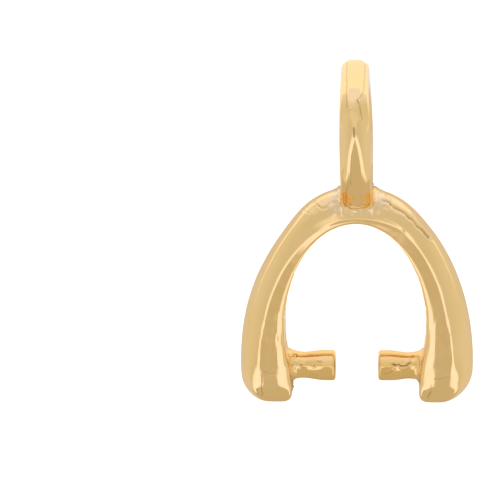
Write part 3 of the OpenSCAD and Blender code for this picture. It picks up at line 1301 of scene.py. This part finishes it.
@dataclass
class Bail:
    """The whole finding: the casting and the ring that is soldered to it."""

    yoke: Yoke = field(default_factory=Yoke)
    ring: ChainRing = field(default_factory=ChainRing)
    # The pegs' marks are darkened with painted shade, standing in for the lens's dark reflection in their
    # dents.
    pegs: tuple[Peg, ...] = field(default_factory=lambda: (
        Peg(Side.LEFT, (
            Scratch(((-2.44, 1.745), (-2.36, 1.74)), 0.03, 0.035, 0.01, 0.9),
            Scratch(((-1.87, 1.715), (-1.79, 1.73)), 0.03, 0.035, 0.01, 0.9),
            Scratch(((-1.68, 1.89), (-1.6, 1.86), (-1.53, 1.89)), 0.02, 0.03, 0.01, 0.7),
            Scratch(((-2.79, 1.72), (-2.7, 1.78)), 0.025, 0.035, 0.01, 0.6),
            Scratch(((-2.75, 1.36), (-2.67, 1.37)), 0.02, 0.035, 0.01, 0.6),
        )),
        Peg(Side.RIGHT, (
            Scratch(
                (
                    (1.56, 1.81), (1.67, 1.75), (1.82, 1.79), (1.95, 1.72),
                    (2.15, 1.73), (2.22, 1.81), (2.3, 1.86),
                ),
                0.035, 0.05, 0.012, 0.95),
            Scratch(((1.62, 1.8), (1.7, 1.75)), 0.02, 0.05, 0.0, 0.95),
            Scratch(((1.2, 1.37), (1.39, 1.4), (1.67, 1.57)), 0.01, 0.025, 0.008, 0.5),
        )),
    ))
    # How far the fillets go, in mm: at the ring's flanks, in front of it, and round the pegs.
    flank_reach: float = 0.42
    front_reach: float = 0.14
    root_reach: float = 0.22
    # How thick the solder lies on the crown, left and right of the ring, and how much of that lies under it.
    solder_left: float = 0.115
    solder_right: float = 0.085
    solder_under: float = 0.35
    # Where the solder changes, in mm: over X from left to right, out from under the ring, and out to its end.
    # It starts at heights that fall towards its end.
    left_to_right: Pair = (-0.5, 0.5)
    out_from_under: Pair = (0.1, 1.0)
    layer_end: Pair = (3.3, 1.8)
    layer_heights: Pair = (8.1, 8.8)
    layer_fall: float = 0.14
    # The seam's ragged edge: its reach from the other piece, its fade, and the heights where it starts.
    seam_reach: float = 0.75
    seam_fade: float = 0.35
    seam_heights: Pair = (8.3, 8.55)
    ragged: Grain = Grain(51, 0.35, 3, 0.5)
    coarse_lumps: Grain = Grain(52, 0.3, 2, 0.024)
    fine_lumps: Grain = Grain(54, 0.12, 2, 0.017)
    # The fillet grows from the front's reach to the flanks' between these distances from the middle.
    front_to_flank: Pair = (0.42, 0.67)
    # The torch's flush: where it is strongest beside the seam, how far it goes and how it grows to the right.
    flush_place: float = 0.05
    flush_reach: float = 0.1
    flush_patches: Grain = Grain(53, 0.4)
    flush_slope: float = 2.4
    flush_start: float = 0.1
    # The pegs' seams: the same three measures and grains.
    root_seam: float = 0.3
    root_fade: float = 0.15
    root_ragged: Grain = Grain(55, 0.3, 2, 0.12)
    root_grain: Grain = Grain(56, 0.2, 2, 0.006)
    # How far off the other piece is looked for, at the ring and at the pegs.
    ring_search: float = 1.3
    peg_search: float = 0.5
    finish: GoldSkin = field(default_factory=GoldSkin)
    # The pegs get a darker, warmer copy of the gold, a little rougher.
    peg_finish: GoldSkin = field(default_factory=lambda: GoldSkin(
        "darker_peg_gold", gold=(0.98, 0.69, 0.285), warm_gold=(0.96, 0.66, 0.25),
        cast_gold=(0.99, 0.705, 0.315), polish=0.11,
    ))

    def build(self) -> list[bpy.types.Object]:
        """Shapes, joins and dresses every piece.

        Returns:
            The pieces.
        """
        arch = self.yoke.sheet()
        hoop = self.ring.sheet()
        self.yoke.wear(arch)
        self.ring.wear(hoop)
        self.solder(arch, hoop)
        made = []
        for peg in self.pegs:
            skin = peg.sheet(self.yoke)
            peg.wear(skin)
            self.cast_on(arch, skin)
            made.append(skin.piece(f"{peg.side.name.lower()}_peg", self.peg_finish))
        return [arch.piece("yoke", self.finish), hoop.piece("chain_ring", self.finish), *made]

    def solder(self, arch: Sheet, hoop: Sheet) -> None:
        """Lets the ring and the crown flow into each other, with a layer of lumpy solder round the seam.

        Args:
            arch: the yoke's skin.
            hoop: the ring's skin.
        """
        trees = arch.tree(), hoop.tree()
        heights = []
        for skin, other in ((arch, trees[1]), (hoop, trees[0])):
            p = skin.flat()
            aside, height = np.abs(p[:, 0]), p[:, 2]
            gap = distance_to(p, other, self.ring_search)
            above = ramp(height, *self.seam_heights)
            seam = ease((self.seam_reach * (1 + self.ragged.at(p)) - gap) / self.seam_fade) * above
            lumps = (self.coarse_lumps.at(p) + self.fine_lumps.at(p)) * seam
            reach = mix(self.front_reach, self.flank_reach, ramp(aside, *self.front_to_flank))
            heights.append(fillet_height(gap, reach) * above + lumps)
            flush = ease(1 - np.abs(gap - self.flush_place) / self.flush_reach)
            flush *= ease(self.flush_patches.at(p) + self.flush_slope * p[:, 0] - self.flush_start)
            skin.mark(Mask.SOLDER, seam)
            skin.mark(Mask.FLUSH, flush)
        arch.push(heights[0] + self.solder_layer(arch))
        hoop.push(heights[1])

    def solder_layer(self, arch: Sheet) -> np.ndarray:
        """Works out how thick the solder lies on the crown.

        Args:
            arch: the yoke's skin.

        Returns:
            Thickness in mm, one a point.
        """
        x, _, height = arch.flat().T
        aside = np.abs(x)
        layer = mix(self.solder_left, self.solder_right, ramp(x, *self.left_to_right))
        layer *= mix(self.solder_under, 1.0, ramp(aside, *self.out_from_under))
        layer *= ramp(height + self.layer_fall * aside**2, *self.layer_heights)
        return layer * ramp(aside, *self.layer_end)

    def cast_on(self, arch: Sheet, peg: Sheet) -> None:
        """Lets a peg flow into its leg with a small rough fillet.

        Args:
            arch: the yoke's skin.
            peg: the peg's skin.
        """
        trees = arch.tree(), peg.tree()
        heights = []
        for skin, other in ((arch, trees[1]), (peg, trees[0])):
            p = skin.flat()
            gap = distance_to(p, other, self.peg_search)
            seam = ease((self.root_seam + self.root_ragged.at(p) - gap) / self.root_fade)
            heights.append(fillet_height(gap, self.root_reach) + self.root_grain.at(p) * seam)
            skin.mark(Mask.CAST, seam)
        arch.push(heights[0])
        peg.push(heights[1])


# The studio


@dataclass(frozen=True)
class Tent:
    """A light tent round the bail, brighter overhead and in two strips, and dim below the lens.

    Angles are in degrees in the upright bail's frame: a side is the bearing off straight ahead, and a height
    is above the horizon. A pair is where a change starts and where it ends. Brightness is a share of white.
    """

    lens_height: float = 12.0
    lens_side: float = 1.2
    backdrop: float = 1.0
    white: Triple = (1.0, 0.995, 0.985)
    # The tent's walls, dimmer near the lens, and their colour, which turns paler overhead.
    plain: float = 0.755
    near_plain: float = 0.68
    near_side: Pair = (32.0, 80.0)
    pale: Triple = (1.0, 0.96, 0.88)
    sky: Triple = (0.955, 0.94, 1.13)
    sky_height: Pair = (15.0, 75.0)
    # A slim light over the lens, and a broad one overhead.
    front: float = 0.79
    front_side: Pair = (5.0, 11.0)
    front_height: Pair = (14.0, 22.0)
    overhead: float = 0.97
    overhead_height: Pair = (26.0, 70.0)
    # The dim table below the lens: a V whose tip lies at this height and which widens by this much a degree.
    below: float = 0.6
    warm: Triple = (1.0, 0.91, 0.76)
    tip: float = -2.5
    spread: float = 0.76
    dim_edge_soft: float = 3.0
    table_height: Pair = (-56.0, -66.0)
    # The bright strips beside it: their outer edge at one height, how it widens below that, and their top.
    strip: float = 1.12
    rosy: Triple = (1.0, 0.955, 1.1)
    strip_side: float = 28.0
    strip_side_at: float = -12.0
    strip_spread: float = 0.9
    strip_edge_soft: float = 10.0
    strip_height: Pair = (9.0, -5.0)
    # A dark seam along the table's left edge, half as wide as this.
    seam: float = 0.3
    seam_half: Pair = (1.0, 2.6)
    seam_height: Pair = (-26.0, -38.0)

    def build(self) -> bpy.types.World:
        """Makes the world.

        Returns:
            The world, which shows plain white to the camera.
        """
        world = bpy.data.worlds.new("light_tent")
        world.use_nodes = True
        bench = Bench(world.node_tree)
        way = bench.add("ShaderNodeTexCoord").outputs["Generated"]
        side = bench.dot(way, Vector((1, 0, 0)))
        ahead = bench.dot(way, REST.direction((0, -1, 0)))
        up = bench.dot(way, REST.direction((0, 0, 1)))
        bearing = bench.math("DEGREES", bench.math("ARCTAN2", side, ahead))
        turn = bench.math("ABSOLUTE", bearing)
        height = bench.math("DEGREES", bench.math("ARCSINE", up))

        slim = bench.range(turn, *self.front_side, 1.0, 0.0)
        slim = bench.math("MULTIPLY", slim, bench.range(height, *self.front_height))
        light = bench.blend(slim, bench.range(turn, *self.near_side, self.near_plain, self.plain), self.front)
        light = bench.blend(bench.range(height, *self.overhead_height), light, self.overhead)

        dim_edge = bench.math("MULTIPLY", bench.math("SUBTRACT", self.tip, height), self.spread)
        table = bench.range(height, *self.table_height)
        in_dim = bench.math("MAXIMUM", self.within(bench, turn, dim_edge, self.dim_edge_soft), table)
        fall = bench.math("SUBTRACT", self.strip_side_at, height)
        strip_edge = bench.math("ADD", bench.math("MULTIPLY", fall, self.strip_spread), self.strip_side)
        under = bench.range(height, *self.strip_height)
        in_strip = bench.math("MULTIPLY", self.within(bench, turn, strip_edge, self.strip_edge_soft), under)
        light = bench.blend(in_strip, light, self.strip)
        light = bench.blend(in_dim, light, self.below)

        off_edge = bench.math("ABSOLUTE", bench.math("ADD", bearing, dim_edge))
        in_seam = bench.range(off_edge, *self.seam_half, 1.0, 0.0)
        in_seam = bench.math("MULTIPLY", in_seam, bench.range(height, *self.seam_height))
        light = bench.blend(in_seam, light, self.seam)

        tent = bench.add("ShaderNodeBackground")
        colour = bench.colours(bench.range(height, *self.sky_height), self.pale, self.sky)
        colour = bench.colours(in_strip, colour, self.rosy)
        bench.feed(tent.inputs["Color"], bench.colours(in_dim, colour, self.warm))
        bench.feed(tent.inputs["Strength"], light)
        behind = bench.add("ShaderNodeBackground")
        behind.inputs["Color"].default_value = (*self.white, 1.0)
        behind.inputs["Strength"].default_value = self.backdrop
        pick = bench.add("ShaderNodeMixShader")
        seen = bench.add("ShaderNodeLightPath").outputs["Is Camera Ray"]
        for socket, source in zip(pick.inputs, (seen, tent.outputs[0], behind.outputs[0])):
            bench.feed(socket, source)
        bench.feed(bench.add("ShaderNodeOutputWorld").inputs["Surface"], pick.outputs[0])
        bpy.context.scene.world = world
        return world

    @staticmethod
    def within(bench: Bench, turn: Socket, edge: Socket, soft: float) -> Socket:
        """Is 1 where a bearing is well inside an edge, and fades to 0 outside over so many degrees."""
        return bench.range(bench.math("SUBTRACT", edge, turn), -soft / 2, soft / 2)

    def lens_axes(self) -> tuple[Vector, Vector, Vector]:
        """Works out how the lens looks at the bail.

        Returns:
            The picture's right, its up and the way from the bail to the lens, in the row frame.
        """
        turn, rise = math.radians(self.lens_side), math.radians(self.lens_height)
        x, y = math.sin(turn), -math.cos(turn)
        right = REST.direction((-y, x, 0.0))
        up = REST.direction((-x * math.sin(rise), -y * math.sin(rise), math.cos(rise)))
        back = REST.direction((x * math.cos(rise), y * math.cos(rise), math.sin(rise)))
        return right, up, back


@dataclass(frozen=True)
class Studio:
    """Floor, light and camera."""

    tent: Tent = Tent()
    table: PaleTable = PaleTable()
    middle_height: float = 7.4
    # Where the frame's centre lies from the bail's middle, to the right and up, in mm.
    frame_right: float = -4.585
    frame_up: float = -0.69
    frame_width: float = 21.46
    focal_length: float = 300.0
    sensor: float = 36.0
    clip: Pair = (0.01, 10.0)
    floor_size: float = 3.0

    def build(self) -> None:
        """Sets everything up."""
        self.tent.build()
        self.lay_floor()
        self.place_camera()
        bpy.context.scene.view_settings.view_transform = "Standard"

    def lay_floor(self) -> None:
        """Lays the table under the bail."""
        half = self.floor_size / 2
        mesh = bpy.data.meshes.new("table")
        corners_at = [(-half, -half, 0), (half, -half, 0), (half, half, 0), (-half, half, 0)]
        mesh.from_pydata(corners_at, [], [(0, 1, 2, 3)])
        mesh.materials.append(self.table.material())
        floor = bpy.data.objects.new("table", mesh)
        bpy.context.scene.collection.objects.link(floor)

    def place_camera(self) -> bpy.types.Object:
        """Looks at the bail as the photograph does, from its front and a little above.

        Returns:
            The camera.
        """
        right, up, towards = self.tent.lens_axes()
        middle = Vector(REST.lay_down(np.array([[0.0, 0.0, self.middle_height]]))[0])
        away = self.frame_width * MM * self.focal_length / self.sensor
        spot = middle + towards * away
        aim = middle + right * self.frame_right * MM + up * self.frame_up * MM
        back = (spot - aim).normalized()
        side = up.cross(back).normalized()
        top = back.cross(side)
        data = bpy.data.cameras.new("camera")
        data.lens, data.sensor_width = self.focal_length, self.sensor
        data.clip_start, data.clip_end = self.clip
        camera = bpy.data.objects.new("camera", data)
        bpy.context.scene.collection.objects.link(camera)
        camera.matrix_world = Matrix.Translation(spot) @ Matrix((side, top, back)).transposed().to_4x4()
        bpy.context.scene.camera = camera
        return camera


def main() -> None:
    """Loads the frame, builds the bail round it and sets the studio."""
    logging.basicConfig(level=logging.INFO, format="%(name)s: %(message)s")
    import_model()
    Bail().build()
    Studio().build()


if __name__ == "__main__":
    main()
